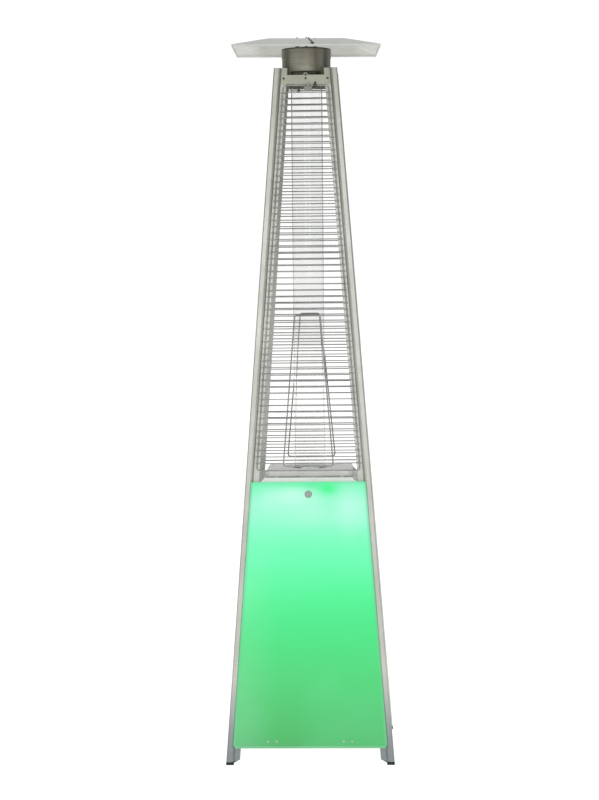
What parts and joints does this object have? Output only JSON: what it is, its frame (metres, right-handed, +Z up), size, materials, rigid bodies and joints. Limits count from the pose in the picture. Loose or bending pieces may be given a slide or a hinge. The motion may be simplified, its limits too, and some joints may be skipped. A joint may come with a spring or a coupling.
{
  "type": "pyramid patio heater",
  "caption": "Pyramid outdoor gas heater with a glass flame tube, wire guards, a square reflector hood and a back-lit cabinet with a drop-down door.",
  "frame": {"origin": "centre of the square footprint, on the ground under the four feet", "axes": "+Z up, the door faces -Y, +X to the right of someone looking at the door"},
  "size_m": [0.53, 0.53, 2.297],
  "materials": {
    "post_metal": "satin silver powder coat",
    "foot_rubber": "matte black",
    "base_steel": "satin grey",
    "hinge_steel": "zinc plated",
    "lit_panel": "translucent acrylic lit from behind",
    "door_trim": "satin",
    "knob_metal": "satin",
    "deck_metal": "satin silver",
    "pan_metal": "heat-dulled steel",
    "seat_ceramic": "ceramic fibre",
    "quartz": "clear quartz",
    "brass": "machined",
    "copper": "copper tube",
    "valve_cast": "die cast",
    "spindle_steel": "turned",
    "black_plastic": "moulded",
    "button_red": "moulded",
    "led_module": "lit diode lenses",
    "guard_wire": "silver coated wire",
    "clip_metal": "dark spring steel",
    "bracket_metal": "heat-tinted satin",
    "collar_steel": "brushed, olive heat tint",
    "stud_steel": "plated",
    "hood_metal": "satin aluminium"
  },
  "bodies": {
    "frame": {"post_front_left": "post_metal", "post_front_right": "post_metal", "post_rear_left": "post_metal", "post_rear_right": "post_metal", "feet": "foot_rubber", "base_plate": "base_steel", "fixed_hinge_leaves": "hinge_steel", "hinge_pins": "hinge_steel", "right_panel": "lit_panel", "rear_panel": "lit_panel", "left_panel": "lit_panel", "panel_brackets": "base_steel", "panel_screws": "hinge_steel", "deck_plate": "deck_metal", "burner_pan": "pan_metal", "tube_seat": "seat_ceramic", "quartz_tube": "quartz", "main_burner": "pan_metal", "pilot_burner": "brass", "igniter_electrode": "seat_ceramic", "thermocouple": "copper", "gas_valve": "valve_cast", "main_gas_pipe": "brass", "inlet_fitting": "brass", "control_plate": "base_steel", "igniter_body": "black_plastic", "led_driver": "black_plastic", "led_switch_case": "black_plastic", "led_bars": "base_steel", "led_modules": "led_module", "tilt_switch": "black_plastic", "guard_front": "guard_wire", "guard_right": "guard_wire", "guard_rear": "guard_wire", "guard_left": "guard_wire", "guard_clips": "clip_metal", "thumb_screws": "clip_metal", "bracket_front": "bracket_metal", "bracket_right": "bracket_metal", "bracket_rear": "bracket_metal", "bracket_left": "bracket_metal", "bracket_screws": "clip_metal", "top_plate": "bracket_metal", "flue_collar": "collar_steel", "collar_band": "collar_steel", "hood_spider": "collar_steel", "hood_studs": "stud_steel", "reflector_hood": "hood_metal", "wing_nuts": "stud_steel", "catch_magnet": "black_plastic"},
    "door": {"door_panel": "lit_panel", "door_bottom_trim": "door_trim", "door_top_rail": "base_steel", "door_hinge_leaves": "hinge_steel", "hinge_screws": "hinge_steel", "door_knob": "knob_metal"},
    "valve_stem": {"valve_spindle": "spindle_steel"},
    "valve_knob": {"control_knob": "black_plastic"},
    "igniter_push": {"igniter_button": "button_red"},
    "led_rocker_body": {"led_rocker": "button_red"}
  },
  "joints": [
    {"name": "door_hinge", "type": "hinge", "parent": "frame", "child": "door", "pos_m": [0, -0.25563, 0.05501], "axis": [1, 0, 0], "range_deg": [0, 94]},
    {"name": "valve_press", "type": "slide", "parent": "frame", "child": "valve_stem", "axis": [0, 1, 0], "range_m": [0, 0.004], "stiffness_N_per_m": 900},
    {"name": "valve_turn", "type": "hinge", "parent": "valve_stem", "child": "valve_knob", "pos_m": [0, -0.165, 0.818], "axis": [0, 1, 0], "range_deg": [0, 180]},
    {"name": "igniter_press", "type": "slide", "parent": "frame", "child": "igniter_push", "axis": [0, 1, 0], "range_m": [0, 0.006], "stiffness_N_per_m": 500},
    {"name": "led_rock", "type": "hinge", "parent": "frame", "child": "led_rocker_body", "pos_m": [-0.075, -0.155, 0.818], "axis": [1, 0, 0], "range_deg": [0, 14]}
  ]
}
